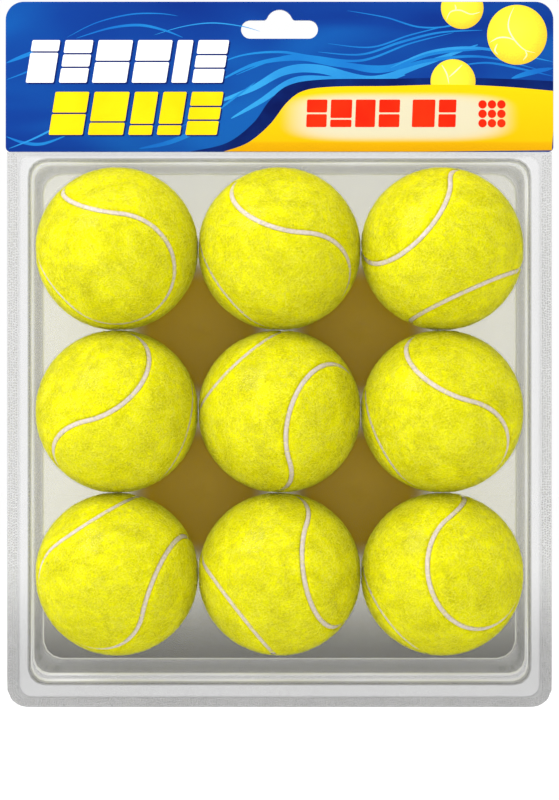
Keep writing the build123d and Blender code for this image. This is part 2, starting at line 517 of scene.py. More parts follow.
def seatProfile(reach, look):
    # a flat seat, a sloping side with soft edges, then the tray's floor
    deep, floor = look["seat"], look["floor"]
    inner, outer = look["seatInner"], look["seatOuter"]
    bendStart, bendEnd = inner * 0.9, outer * 1.1
    profile = []
    for step in range(1, cellSteps + 1):
        # a quarter of the steps lie on the seat, and almost half on its side
        share = step / cellSteps
        if share < 0.25:
            rho = bendStart * share / 0.25
        elif share < 0.7:
            rho = bendStart + (bendEnd - bendStart) * (share - 0.25) / 0.45
        else:
            rho = bendEnd + (reach - bendEnd) * (share - 0.7) / 0.3
        rise = float(smoothStep(np.array((rho - inner) / (outer - inner))))
        profile.append((rho, deep + (floor - deep) * rise))
    profile[-1] = (reach, floor)
    return (0, deep), profile


def softBends(corners):
    # extra outlines close to each bend, so the flats stay flat and the bends stay crisp
    rings = [corners[0]]
    for a, b in zip(corners, corners[1:]):
        reach = min(bendWidth / math.hypot(b[0] - a[0], b[-1] - a[-1]), 0.3)
        for share in (reach, 1 - reach, 1):
            rings.append(tuple(p + (q - p) * share for p, q in zip(a, b)))
    return rings


def formedSheet(name, look, profileMaker, body, materials):
    # nine polar cells, one round each ball, joined to nested rounded outlines
    points, faces = [], []
    rings = softBends(look["corners"])
    web = insetOutline(*rings[0][:-1])
    rows = sorted({round(p.z, 3) for p in ballPlaces.values()})
    columns = sorted({round(p.x, 3) for p in ballPlaces.values()})
    for place in ballPlaces.values():
        bounds = {}
        for key, value, step in (("x", place.x, 1), ("x", place.x, -1),
                                 ("z", place.z, 1), ("z", place.z, -1)):
            levels = columns if key == "x" else rows
            has = any(abs(level - (value + step * ballPitch)) < 1 for level in levels)
            bounds[(key, step)] = ballPitch / 2 if has else None
        angles = [2 * math.pi * k / cellRays for k in range(cellRays)]
        for sx in (1, -1):
            for sz in (1, -1):
                # a ray to each place where a cell's side meets the web's edge
                if bounds[("x", sx)] and not bounds[("z", sz)]:
                    edge = (web["high"] if sz > 0 else web["low"]) - place.z
                    angles.append(math.atan2(edge, sx * ballPitch / 2) % (2 * math.pi))
                if bounds[("z", sz)] and not bounds[("x", sx)]:
                    edge = sx * web["half"] - place.x
                    angles.append(math.atan2(sz * ballPitch / 2, edge) % (2 * math.pi))
        angles.sort()
        start = len(points)
        middle = None
        for angle in angles:
            dx, dz = math.cos(angle), math.sin(angle)
            reach = rayToOutline(web, place.x, place.z, dx, dz)
            for key, part in (("x", dx), ("z", dz)):
                limit = bounds[(key, 1 if part > 0 else -1)]
                if limit and abs(part) > 1e-9:
                    reach = min(reach, limit / abs(part))
            middle, profile = profileMaker(reach, look)
            points += [(place.x + rho * dx, y, place.z + rho * dz) for rho, y in profile]
        tip = len(points)
        points.append((place.x, middle[1], place.z))
        count = len(angles)
        for i in range(count):
            j = (i + 1) % count
            a, b = start + i * cellSteps, start + j * cellSteps
            faces.append((tip, a, b))
            faces += [(a + k, a + k + 1, b + k + 1, b + k) for k in range(cellSteps - 1)]
    mesh = bmesh.new()
    vertices = [mesh.verts.new(p) for p in points]
    for face in faces:
        made = mesh.faces.new([vertices[i] for i in face])
        if min(vertices[i].co.y for i in face) > look.get("frostFrom", 1e9):
            away = min((made.calc_center_median() - place).xz.length for place in ballPlaces.values())
            made.material_index = 2 if away > look["frostRadius"] else 0
    bmesh.ops.remove_doubles(mesh, verts=mesh.verts, dist=0.02)
    rim = [e for e in mesh.edges if e.is_boundary]
    base = web
    edgeVerts = {v for e in rim for v in e.verts}
    ring = {v: v for v in edgeVerts}
    pairs = []
    for e in rim:
        loop = e.link_loops[0]
        pairs.append((loop.vert, loop.link_loop_next.vert))
    ringFaces = []
    for inner, spec in zip(rings, rings[1:]):
        narrow = math.hypot(spec[0] - inner[0], spec[-1] - inner[-1]) < bendWidth * 1.05
        if spec[0] < sealWidth:
            kind = 1
        elif narrow and spec[-1] > look.get("glintFrom", 1e9) and spec[0] < rings[0][0] - 1:
            kind = 3
        elif min(inner[-1], spec[-1]) > look.get("frostFrom", 1e9):
            kind = 2
        else:
            kind = 0
        target = insetOutline(*spec[:-1])
        made = {}
        for v in edgeVerts:
            x, z = outlineMove(base, target, v.co.x, v.co.z)
            made[v] = mesh.verts.new((x, spec[-1], z))
        for a, b in pairs:
            face = mesh.faces.new((ring[b], ring[a], made[a], made[b]))
            ringFaces.append((face, kind))
        ring = made
    for x, z, depth in look["dimples"]:
        for v in mesh.verts:
            away = math.hypot(v.co.x - x, v.co.z - z)
            if away < look["dimpleRadius"]:
                share = math.cos(away / look["dimpleRadius"] * math.pi / 2) ** 2
                v.co.y += depth * share
    for face in mesh.faces:
        face.smooth = True
    for face, kind in ringFaces:
        face.material_index = kind
    bmesh.ops.scale(mesh, vec=(mm, mm, mm), verts=mesh.verts)
    data = bpy.data.meshes.new(name)
    mesh.to_mesh(data)
    mesh.free()
    piece = placeMesh(name, data, body, materials)
    solid = piece.modifiers.new("thickness", "SOLIDIFY")
    solid.thickness = sheetThickness * mm
    solid.offset = -1
    solid.material_offset = 4 if len(materials) > 4 else 0    # the back's own materials follow
    applyModifiers(piece)
    return piece


clearLook = {
    # what the clear materials share, and each one's own values below
    "mirror": 0.03, "edgeMirror": 0.5, "roughness": 0.06, "rippleScale": 30, "ripple": 0.02,
    "paintedShadeHeights": (-0.276, -0.225),    # metres, where the painted shade at the foot starts and ends
}


def clearMaterial(name, own):
    # a thin sheet: light passes straight through, with a mirror that grows towards the edge
    look = {**clearLook, **own}
    material, tree, shader = blankMaterial(name)
    tree.nodes.remove(shader)
    out = tree.nodes["Material Output"]
    place = objectPlace(tree)
    split = addNode(tree, "ShaderNodeSeparateXYZ")
    tree.links.new(place, split.inputs[0])
    # painted shade: the transmission and haze colours are scaled darker towards the bottom by height
    foot, head = look["paintedShadeHeights"]
    shade = addNode(tree, "ShaderNodeMapRange", {1: foot, 2: head, 3: look["paintedFootShade"], 4: 1.0},
                    interpolation_type="SMOOTHSTEP")
    tree.links.new(split.outputs[2], shade.inputs[0])
    weight = addNode(tree, "ShaderNodeLayerWeight", {"Blend": 0.5})
    deeper = addNode(tree, "ShaderNodeVectorMath", operation="SCALE")
    if "edgeTint" in look:
        edge = addNode(tree, "ShaderNodeMath", {1: look["edgePower"]}, operation="POWER")
        tint = addNode(tree, "ShaderNodeMix", {6: (*look["tint"], 1), 7: (*look["edgeTint"], 1)},
                       data_type="RGBA")
        chain(tree, weight.outputs["Facing"], edge, tint)
        tree.links.new(tint.outputs[2], deeper.inputs[0])
    milky = addNode(tree, "ShaderNodeVectorMath", {0: look["hazeColour"]}, operation="SCALE")
    clear = addNode(tree, "ShaderNodeBsdfTransparent")
    haze = addNode(tree, "ShaderNodeBsdfDiffuse")
    for scaled, layer in ((deeper, clear), (milky, haze)):
        tree.links.new(shade.outputs[0], scaled.inputs["Scale"])
        tree.links.new(scaled.outputs[0], layer.inputs["Color"])
    ripple = addNoise(tree, place, look["rippleScale"], 2)
    bump = addBump(tree, ripple, look["ripple"], 0.001)
    mirror = addNode(tree, "ShaderNodeBsdfGlossy",
                     {"Roughness": look["roughness"], "Color": (1, 1, 1, 1)})
    for layer in (haze, mirror):
        tree.links.new(bump, layer.inputs["Normal"])
    rise = addNode(tree, "ShaderNodeMath", {1: look["edgeRise"]}, operation="POWER")
    share = addNode(tree, "ShaderNodeMath", {1: look["edgeMirror"], 2: look["mirror"]},
                    operation="MULTIPLY_ADD", use_clamp=True)
    body = addNode(tree, "ShaderNodeMixShader", {0: look["haze"]})
    whole = addNode(tree, "ShaderNodeMixShader")
    chain(tree, weight.outputs["Facing"], rise, share, whole)
    for mixed, lower, upper in ((body, clear, haze), (whole, body, mirror)):
        tree.links.new(lower.outputs[0], mixed.inputs[1])
        tree.links.new(upper.outputs[0], mixed.inputs[2])
    tree.links.new(whole.outputs[0], out.inputs["Surface"])
    return material


coverClear = clearMaterial("coverClear", {
    "tint": (0.995, 0.995, 0.995), "edgeTint": (0.68, 0.68, 0.68), "edgePower": 8.0,
    "haze": 0.001, "hazeColour": (0.9, 0.9, 0.9), "mirror": 0.002, "edgeMirror": 0.34,
    "edgeRise": 11.0, "roughness": 0.07, "paintedFootShade": 0.97,
})
trayClear = clearMaterial("trayClear", {
    "tint": (0.90, 0.90, 0.895), "edgeTint": (0.42, 0.42, 0.41), "edgePower": 4.0,
    "haze": 0.09, "hazeColour": (0.70, 0.70, 0.68), "edgeMirror": 0.75,
    "edgeRise": 8.0, "paintedFootShade": 0.80,
})
sealFrost = clearMaterial("sealFrost", {
    "tint": (0.94, 0.94, 0.94), "edgeTint": (0.5, 0.5, 0.5), "edgePower": 3.0,
    "haze": 0.06, "hazeColour": (0.62, 0.62, 0.62), "mirror": 0.02,
    "edgeRise": 6.0, "roughness": 0.12, "rippleScale": 900, "ripple": 0.05, "paintedFootShade": 0.83,
})
stippleFrost = clearMaterial("stippleFrost", {
    "tint": (0.92, 0.92, 0.92), "edgeTint": (0.12, 0.12, 0.12), "edgePower": 1.1,
    "haze": 0.34, "hazeColour": (0.97, 0.97, 0.97), "mirror": 0.06, "edgeMirror": 0.4,
    "edgeRise": 4.0, "roughness": 0.2, "rippleScale": 900, "ripple": 0.2, "paintedFootShade": 0.9,
})
bendGlint = clearMaterial("bendGlint", {
    "tint": (0.97, 0.97, 0.97), "edgeTint": (0.5, 0.5, 0.5), "edgePower": 4.0,
    "haze": 0.45, "hazeColour": (0.98, 0.98, 0.98), "mirror": 0.12, "edgeMirror": 0.7,
    "edgeRise": 4.0, "paintedFootShade": 0.97,
})


floorLook = {
    "tint": (0.95, 0.945, 0.92), "haze": 0.24, "hazeColour": (0.84, 0.83, 0.79),
    "mirror": 0.015, "edgeMirror": 0.4,
    "edgeRise": 5.0, "roughness": 0.3, "rippleScale": 60, "ripple": 0.05, "paintedFootShade": 0.43,
    "paintedBounceReach": (0.020, 0.035),    # metres from the middle of four balls, where the painted bounce light and shade is full and none
}


def floorMaterial(name, paintedBounceHazeShare, paintedBounceColour, paintedShadeTint):
    # the tray's matt floor; between four balls it has painted light bounced from the balls and painted
    # shade
    material = clearMaterial(name, floorLook)
    tree = material.node_tree
    haze = next(n for n in tree.nodes if n.type == "BSDF_DIFFUSE")
    clear = next(n for n in tree.nodes if n.type == "BSDF_TRANSPARENT")
    middle = ballPlaces[5]
    shift = addNode(tree, "ShaderNodeVectorMath", {1: (middle.x * mm, 0, middle.z * mm)},
                    operation="SUBTRACT")
    fold = addNode(tree, "ShaderNodeVectorMath", operation="ABSOLUTE")
    flatten = addNode(tree, "ShaderNodeVectorMath", {1: (1, 0, 1)}, operation="MULTIPLY")
    away = addNode(tree, "ShaderNodeVectorMath", {1: (ballPitch / 2 * mm, 0, ballPitch / 2 * mm)},
                   operation="DISTANCE")
    full, none = floorLook["paintedBounceReach"]
    # mask of the painted bounce light and shade, full near the middle of four balls
    near = addNode(tree, "ShaderNodeMapRange", {1: full, 2: none, 3: 1.0, 4: 0.0},
                   interpolation_type="SMOOTHSTEP")
    paintedBounceHaze = addNode(tree, "ShaderNodeMapRange", {3: floorLook["haze"], 4: paintedBounceHazeShare})
    chain(tree, objectPlace(tree), shift, fold, flatten, away)
    chain(tree, away.outputs["Value"], near, paintedBounceHaze, haze.outputs[0].links[0].to_node)
    # the painted bounce light and shade colours go in ahead of the painted shade by height
    for layer, plain, paintedGapLight in ((haze, "hazeColour", paintedBounceColour), (clear, "tint", paintedShadeTint)):
        shaded = layer.inputs[0].links[0].from_node
        mix = addNode(tree, "ShaderNodeMix", {6: (*floorLook[plain], 1), 7: (*paintedGapLight, 1)},
                      data_type="RGBA")
        tree.links.new(near.outputs[0], mix.inputs[0])
        tree.links.new(mix.outputs[2], shaded.inputs[0])
    return material


# front face: painted golden bounce light and dark painted shade between the balls; back face: paler olive
# painted shade
frostAndPaintedBounceFloor = floorMaterial("frostAndPaintedBounceFloor", 0.88, (0.80, 0.51, 0.003), (0.05, 0.04, 0.001))
paintedShadeBackFloor = floorMaterial("paintedShadeBackFloor", 0.36, (0.66, 0.64, 0.42), (0.66, 0.66, 0.52))

# set in from the pack's side, bottom and top, corner radius, then the depth from the seal plane
coverLook = {
    "radius": ballRadius + 0.95, "web": 3.5, "fillet": 1.6,
    "corners": [
        (9.7, 10.4, 65.9, 5.8, 5.8, -3.5), (9.1, 9.8, 65.35, 6.4, 6.4, -3.5),
        (8.75, 9.45, 65.05, 6.7, 6.7, -2.0), (5.15, 4.4, 63.4, 5.1, 5.1, -2.0),
        (4.85, 4.1, 63.1, 5.4, 5.4, -0.5), (0.0, 0.0, 61.7, 8.3, 0.3, -0.5),
    ],
    "dimpleRadius": 3.4,
}
trayLook = {
    "seat": 34.0, "floor": 31.5, "seatInner": 10.0, "seatOuter": 14.0,
    "corners": [
        (15.6, 20.5, 72.0, 5.6, 5.6, 31.5), (12.9, 17.8, 69.1, 8.3, 8.3, 31.5),
        (10.7, 13.6, 66.8, 6.6, 6.6, 7.0), (9.5, 10.2, 65.6, 6.6, 6.6, 7.0),
        (8.8, 9.4, 64.8, 7.0, 7.0, 0.0), (0.0, 0.0, 61.7, 8.3, 0.3, 0.0),
    ],
    "dimpleRadius": 3.4, "frostFrom": 30.0, "frostRadius": 15.5, "glintFrom": 5.0,
}
sealWidth = 4.7
gapPlaces = [
    ((ballPlaces[a].x + ballPlaces[a + 1].x) / 2, (ballPlaces[a].z + ballPlaces[a + 3].z) / 2)
    for a in (1, 2, 4, 5)
]
coverLook["dimples"] = [(x, z, 1.3) for x, z in gapPlaces]
trayLook["dimples"] = [(x, z, 1.8) for x, z in gapPlaces]

coverCells = ["dome_%d" % number for number in ballPlaces]
cover = formedSheet(
    "domedCover", coverLook, domeProfile, "cover", [coverClear, sealFrost]
)
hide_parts("front_shell", *coverCells)
tray = formedSheet(
    "ballTray", trayLook, seatProfile, "tray",
    [trayClear, sealFrost, frostAndPaintedBounceFloor, bendGlint, trayClear, sealFrost, paintedShadeBackFloor, bendGlint]
)
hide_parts("back_shell")
print("clear sheets formed")


# flat shapes for printed inks, and the sheet tabs' clear material

def platePiece(name, loop, front, back, body, material):
    # a flat plate between two depths
    mesh = bmesh.new()
    ring = [mesh.verts.new((x * mm, front * mm, z * mm)) for x, z in loop]
    for a, b in zip(ring, ring[1:] + ring[:1]):
        mesh.edges.new((a, b))
    bmesh.ops.triangle_fill(mesh, use_beauty=True, edges=mesh.edges[:], normal=(0, -1, 0))
    grown = bmesh.ops.extrude_face_region(mesh, geom=mesh.faces[:])
    moved = [g for g in grown["geom"] if isinstance(g, bmesh.types.BMVert)]
    bmesh.ops.translate(mesh, vec=(0, (back - front) * mm, 0), verts=moved)
    bmesh.ops.recalc_face_normals(mesh, faces=mesh.faces)
    data = bpy.data.meshes.new(name)
    mesh.to_mesh(data)
    mesh.free()
    return placeMesh(name, data, body, [material])


def arcPoints(x, z, radius, start, end, count):
    return [
        (x + radius * math.cos(math.radians(start + (end - start) * k / count)),
         z + radius * math.sin(math.radians(start + (end - start) * k / count)))
        for k in range(count + 1)
    ]


recolour(tabNodes, coverClear)


# header cards and their print

def boardMaterial(name, deep, light, streak):
    # printed board: ink on the two faces, bare board along the cut edges
    material, tree, shader = blankMaterial(name)
    squash = addNode(tree, "ShaderNodeMapping", {"Scale": (0.45, 1, 1.5)})
    clouds = addNoise(tree, chain(tree, objectPlace(tree), squash), 13, 2, 1.4)
    field = addRamp(tree, clouds, [(0.33, deep), (0.52, light), (0.72, streak)])
    geometry = addNode(tree, "ShaderNodeNewGeometry")
    facing = addNode(tree, "ShaderNodeSeparateXYZ")
    tree.links.new(geometry.outputs["Normal"], facing.inputs[0])
    flat = addNode(tree, "ShaderNodeMath", operation="ABSOLUTE")
    isFace = addNode(tree, "ShaderNodeMath", {1: 0.5}, operation="GREATER_THAN")
    ink = addNode(tree, "ShaderNodeMix", {6: (0.55, 0.58, 0.66, 1)}, data_type="RGBA")
    chain(tree, facing.outputs[1], flat, isFace, ink)
    tree.links.new(field, ink.inputs[7])
    tree.links.new(ink.outputs[2], shader.inputs["Base Color"])
    setSockets(shader, {"Roughness": 0.34, "Specular IOR Level": 0.05})
    return material


printGloss = {"Roughness": 0.36, "Specular IOR Level": 0.05}


def inkMaterial(name, low, high, scale=60.0):
    # one ink, with the faint unevenness of print
    material, tree, shader = blankMaterial(name)
    mottle = addNoise(tree, objectPlace(tree), scale, 3)
    colour = addRamp(tree, mottle, [(0.35, low), (0.65, high)])
    tree.links.new(colour, shader.inputs["Base Color"])
    setSockets(shader, printGloss)
    return material


goldLook = {
    # places and lengths in metres from the slot's top
    "foot": -0.0588, "head": -0.032,
    "glowMiddle": (0.0495, -0.0445), "glowHalf": (0.046, 0.0098), "glowFade": (0.05, 1.5),
    "glow": (0.66, 0.60, 0.42),
    "stops": [
        (0.0, (0.66, 0.32, 0.001)), (0.13, (0.69, 0.37, 0.001)), (0.17, (0.76, 0.45, 0.001)),
        (1.0, (0.82, 0.55, 0.002)),
    ],
}


def glowInkMaterial():
    # the gold field: lighter at the top, deeper at the foot, with a soft white glow in it
    material, tree, shader = blankMaterial("goldInk")
    place = objectPlace(tree)
    split = addNode(tree, "ShaderNodeSeparateXYZ")
    tree.links.new(place, split.inputs[0])
    height = addNode(tree, "ShaderNodeMapRange", {1: goldLook["foot"], 2: goldLook["head"]})
    gold = addRamp(tree, chain(tree, split.outputs[2], height), goldLook["stops"])
    # the fourth power of the distance gives the glow its squarish outline
    (x, z), (halfX, halfZ) = goldLook["glowMiddle"], goldLook["glowHalf"]
    centre = addNode(tree, "ShaderNodeMapping", {
        "Location": (-x / halfX, 0, -z / halfZ), "Scale": (1 / halfX, 0, 1 / halfZ),
    })
    square = addNode(tree, "ShaderNodeVectorMath", operation="MULTIPLY")
    fourth = addNode(tree, "ShaderNodeVectorMath", operation="DOT_PRODUCT")
    near, far = goldLook["glowFade"]
    glow = addNode(tree, "ShaderNodeMapRange", {1: near, 2: far, 3: 1.0, 4: 0.0},
                   interpolation_type="SMOOTHERSTEP")
    mix = addNode(tree, "ShaderNodeMix", {7: (*goldLook["glow"], 1)}, data_type="RGBA")
    chain(tree, place, centre, square, fourth)
    tree.links.new(centre.outputs[0], square.inputs[1])
    tree.links.new(square.outputs[0], fourth.inputs[1])
    chain(tree, fourth.outputs["Value"], glow, mix)
    tree.links.new(gold, mix.inputs[6])
    tree.links.new(mix.outputs[2], shader.inputs["Base Color"])
    setSockets(shader, printGloss)
    return material


def printedBallMaterial():
    # a ball in print: lit from the upper left, darker round its edge, speckled like felt
    material, tree, shader = blankMaterial("printedBall")
    place = addNode(tree, "ShaderNodeUVMap", uv_map="disc")
    litSide = addNode(tree, "ShaderNodeVectorMath", {1: (0.44, 0.58, 0)}, operation="DISTANCE")
    chain(tree, place.outputs[0], litSide)
    speck = addNoise(tree, place.outputs[0], 34, 3)
    shade = addNode(tree, "ShaderNodeMath", {1: 0.22}, operation="MULTIPLY_ADD")
    chain(tree, speck, shade)
    tree.links.new(litSide.outputs["Value"], shade.inputs[2])
    colour = addRamp(tree, shade.outputs[0], [
        (0.15, (1.0, 0.86, 0.03)), (0.45, (0.93, 0.73, 0.01)), (0.68, (0.70, 0.48, 0.004)),
    ])
    tree.links.new(colour, shader.inputs["Base Color"])
    shader.inputs["Roughness"].default_value = 0.4
    return material


blueBoard = boardMaterial("blueBoard", (0.0025, 0.023, 0.195), (0.0035, 0.04, 0.25), (0.005, 0.09, 0.36))
navyInk = inkMaterial("navyInk", (0.001, 0.006, 0.075), (0.002, 0.016, 0.13))
goldInk = glowInkMaterial()
whiteInk = inkMaterial("whiteInk", (0.84, 0.84, 0.83), (0.90, 0.90, 0.89))
yellowInk = inkMaterial("yellowInk", (0.84, 0.58, 0.002), (0.90, 0.65, 0.004))
redInk = inkMaterial("redInk", (0.70, 0.015, 0.002), (0.76, 0.026, 0.003))
shadowInk = inkMaterial("shadowInk", (0.001, 0.008, 0.10), (0.002, 0.014, 0.13))
waveInk = inkMaterial("waveInk", (0.006, 0.11, 0.44), (0.012, 0.20, 0.54), 22.0)
paleWaveInk = inkMaterial("paleWaveInk", (0.01, 0.16, 0.50), (0.03, 0.30, 0.64), 22.0)
lineInk = inkMaterial("lineInk", (0.80, 0.68, 0.30), (0.90, 0.80, 0.48))
printedBall = printedBallMaterial()

recolour(["header_front", "header_rear"], blueBoard)

inkStep = 0.012           # millimetres between one ink layer and the next
cardRadius = {"top": 7.5, "bottom": 2.0}


printMargin = 0.05


def insideCard(x, z):
    # pulls a point back inside the card's outline, a hair from its edge
    half = cardHigh.x - printMargin
    low, high = cardLow.z + printMargin, cardHigh.z - printMargin
    x = max(-half, min(half, x))
    z = max(low, min(high, z))
    for radius, cornerZ, up in ((cardRadius["top"], high, 1), (cardRadius["bottom"], low, -1)):
        centreX, centreZ = half - radius, cornerZ - up * radius
        if abs(x) > centreX and (z - centreZ) * up > 0:
            away = math.hypot(abs(x) - centreX, z - centreZ)
            if away > radius:
                x = math.copysign(centreX + (abs(x) - centreX) * radius / away, x)
                z = centreZ + (z - centreZ) * radius / away
    return x, z


def printShape(name, loop, layer, material):
    front = cardLow.y - inkStep * layer
    loop = [insideCard(x, z) for x, z in loop]
    return platePiece(name, loop, front, cardLow.y, "cover", material)


def smoothLine(points, perSpan=14):
    # a smooth curve through a few given points
    line = []
    padded = [points[0]] + list(points) + [points[-1]]
    for a, b, c, d in zip(padded, padded[1:], padded[2:], padded[3:]):
        for k in range(perSpan):
            t = k / perSpan
            line.append(tuple(
                0.5 * (2 * q + (r - p) * t + (2 * p - 5 * q + 4 * r - s) * t * t
                       + (3 * q - p - 3 * r + s) * t ** 3)
                for p, q, r, s in zip(a, b, c, d)
            ))
    line.append(tuple(points[-1]))
    return line


def ribbonLoop(points, width):
    # a band along a smooth line, wide in the middle and pointed at both ends
    line = smoothLine(points)
    left, right = [], []
    for k, (x, z) in enumerate(line):
        ax, az = line[max(k - 1, 0)]
        bx, bz = line[min(k + 1, len(line) - 1)]
        length = math.hypot(bx - ax, bz - az) or 1
        half = width / 2 * math.sin(math.pi * (0.02 + 0.96 * k / (len(line) - 1))) ** 0.8
        left.append((x - (bz - az) / length * half, z + (bx - ax) / length * half))
        right.append((x + (bz - az) / length * half, z - (bx - ax) / length * half))
    return left + right[::-1]


# the gold field's upper edge, left to right, in millimetres from the slot's top
goldEdge = [(-23, -58.7), (-13, -55.0), (-4, -47.5), (3, -38.5), (10, -33.6), (22, -31.9),
            (45, -31.6), (70, -31.0), (92, -31.8), (113.2, -33.6)]
navyEdge = [(-37, -58.7), (-22, -55.2), (-11, -47.0), (-4, -37.5), (4, -31.2), (18, -28.9),
            (45, -28.6), (70, -28.2), (92, -28.6), (113.2, -29.6)]


def fieldLoop(edge):
    # from the edge's right end down the card's side and back along its foot
    right, foot = cardHigh.x - printMargin, cardLow.z + printMargin
    return smoothLine(edge) + [(right, -40), (right, -50), (right, foot), (60, foot), (20, foot)]


waveLines = [
    # points left to right, width, and whether the paler ink is used
    ([(-28, -39), (-12, -33), (2, -25.5), (16, -24.5), (38, -29), (58, -23), (82, -14.5)], 3.6, True),
    ([(-20, -45), (-8, -38), (6, -29.5), (22, -29), (40, -29.5), (52, -27)], 3.0, True),
    ([(-26, -30), (-10, -22.5), (8, -20), (24, -22.5), (44, -24), (64, -18), (90, -16)], 2.4, False),
    ([(-18, -27), (2, -19.5), (18, -20.5), (40, -25.5), (62, -21), (84, -19.5), (108, -25)], 1.5, False),
    ([(-30, -24.5), (-16, -19), (0, -17.5), (14, -19.5), (34, -21), (54, -14), (72, -9.5)], 1.1, False),
    ([(16, -17.5), (34, -18.5), (50, -13.5), (66, -9.5), (84, -8.5)], 1.0, False),
    ([(20, -14), (38, -15.5), (54, -10.5), (72, -6)], 0.7, False),
    ([(28, -0.4), (44, -3.2), (58, -7.2), (72, -6.4), (84, -1.0)], 0.7, False),
    ([(46, -24), (62, -17.5), (80, -15.8), (98, -18.5), (113, -21.5)], 1.2, True),
    ([(72, -23.5), (86, -22), (100, -24.5), (113, -27.5)], 0.9, False),
    ([(96, -28.4), (104, -26), (113, -24.2)], 2.2, False),
    ([(-52, -10.5), (-40, -7), (-28, -5.5), (-16, -6.8), (-8, -9)], 0.5, True),
    ([(-88, -11.5), (-76, -5.5), (-62, -2.0), (-50, -1.6), (-42, -2.6)], 0.6, False),
    ([(-84, -11.8), (-70, -7.6), (-58, -6.4), (-48, -8.4), (-40, -11.5)], 1.1, False),
    ([(-113, -22), (-104, -18.5), (-94, -15)], 1.6, False),
    ([(-113, -29), (-103, -25), (-96, -20)], 0.7, False),
    ([(-113, -52.5), (-106, -55), (-98, -55.5), (-88, -52)], 1.3, False),
    ([(-112, -57.5), (-102, -53.5), (-92, -48.5), (-84, -44)], 0.8, True),
    ([(-40, -48), (-28, -43), (-18, -36), (-10, -30)], 0.9, False),
    ([(-58, -57.5), (-46, -55), (-34, -50), (-24, -44)], 2.0, False),
]
for k, (line, width, pale) in enumerate(waveLines):
    printShape("printWave%d" % (k + 1), ribbonLoop(line, width), 1 + k * 0.1,
               paleWaveInk if pale else waveInk)


def printBall(name, x, z, radius, flatTop=None, flatFoot=None, seams=()):
    # a printed disc with its seam lines, cut straight at the card's edge or another field
    loop = []
    for px, pz in arcPoints(x, z, radius, 0, 360, 64)[:-1]:
        pz = min(pz, flatTop) if flatTop is not None else pz
        pz = max(pz, flatFoot) if flatFoot is not None else pz
        if not loop or math.hypot(px - loop[-1][0], pz - loop[-1][1]) > 0.02:
            loop.append((px, pz))
    disc = printShape(name, loop, 4, printedBall)
    layer = disc.data.uv_layers.new(name="disc")
    for corner in disc.data.loops:
        co = disc.data.vertices[corner.vertex_index].co / mm
        layer.data[corner.index].uv = ((co.x - x) / radius / 2 + 0.5, (co.z - z) / radius / 2 + 0.5)
    for k, seam in enumerate(seams):
        line = [(x + a * radius, z + b * radius) for a, b in seam]
        printShape("%sSeam%d" % (name, k + 1), ribbonLoop(line, 0.62), 5 + k, lineInk)


printBall("printBallTop", 75.6, 0.8, 8.8, flatTop=cardHigh.z - 0.1, seams=[
    [(-0.75, -0.6), (-0.55, -0.2), (-0.1, -0.12), (0.4, -0.3), (0.85, -0.2)],
    [(-0.35, 0.15), (-0.3, 0.0), (-0.32, -0.14)],
])
printBall("printBallRight", 98.3, -10.4, 12.4, seams=[
    [(-0.1, 0.93), (-0.26, 0.55), (-0.28, 0.2), (-0.08, -0.18), (0.25, -0.5), (0.6, -0.6)],
    [(-0.9, -0.25), (-0.62, -0.1), (-0.3, -0.1), (-0.06, -0.2)],
    [(0.26, -0.5), (0.32, -0.68), (0.2, -0.85)],
    [(-0.66, -0.3), (-0.74, -0.52), (-0.64, -0.66)],
])
printShape("printNavyBand", fieldLoop(navyEdge), 3, navyInk)
printBall("printBallLow", 71.8, -29.8, 9.3, flatFoot=-31.2, seams=[
    [(-0.5, 0.75), (-0.28, 0.35), (-0.18, -0.1)],
    [(0.42, 0.76), (0.1, 0.45), (-0.18, 0.2)],
])
printShape("printGoldField", fieldLoop(goldEdge), 7, goldInk)


def leaningBlock(x, z, width, height, lean, corner=0.55):
    # a plain leaning bar with small rounded corners
    shape = []
    corners = [(0, 0), (width, 0), (width, height), (0, height)]
    for k, (cx, cz) in enumerate(corners):
        inX = corner if cx == 0 else -corner
        inZ = corner if cz == 0 else -corner
        for step in range(5):
            a = math.radians(180 + 90 * k + 90 * step / 4)
            px = cx + inX + corner * math.cos(a)
            pz = cz + inZ + corner * math.sin(a)
            shape.append((x + px + pz * lean, z + pz))
    return shape


shadeDrop = 0.55          # how far a block's shade lies to the right and below it
splitGap = 0.35           # half the gap between two parts of a split block


def blockRow(name, left, foot, height, bars, lean, material, shadow, layer=9):
    # bars holds each bar's width, the gap after it and its splits, as shares of its height
    x = left
    number = 0
    for width, gap, splits in bars:
        edges = [0.0, *splits, 1.0]
        for low, high in zip(edges, edges[1:]):
            number += 1
            below = splitGap if low else 0
            above = splitGap if high < 1 else 0
            z = foot + low * height + below
            tall = (high - low) * height - below - above
            start = x + (z - foot) * lean
            if shadow:
                printShape("%sShade%d" % (name, number),
                           leaningBlock(start + shadeDrop, z - shadeDrop, width, tall, lean),
                           layer, shadowInk)
            printShape("%sBar%d" % (name, number),
                       leaningBlock(start, z, width, tall, lean), layer + 1, material)
        x += width + gap


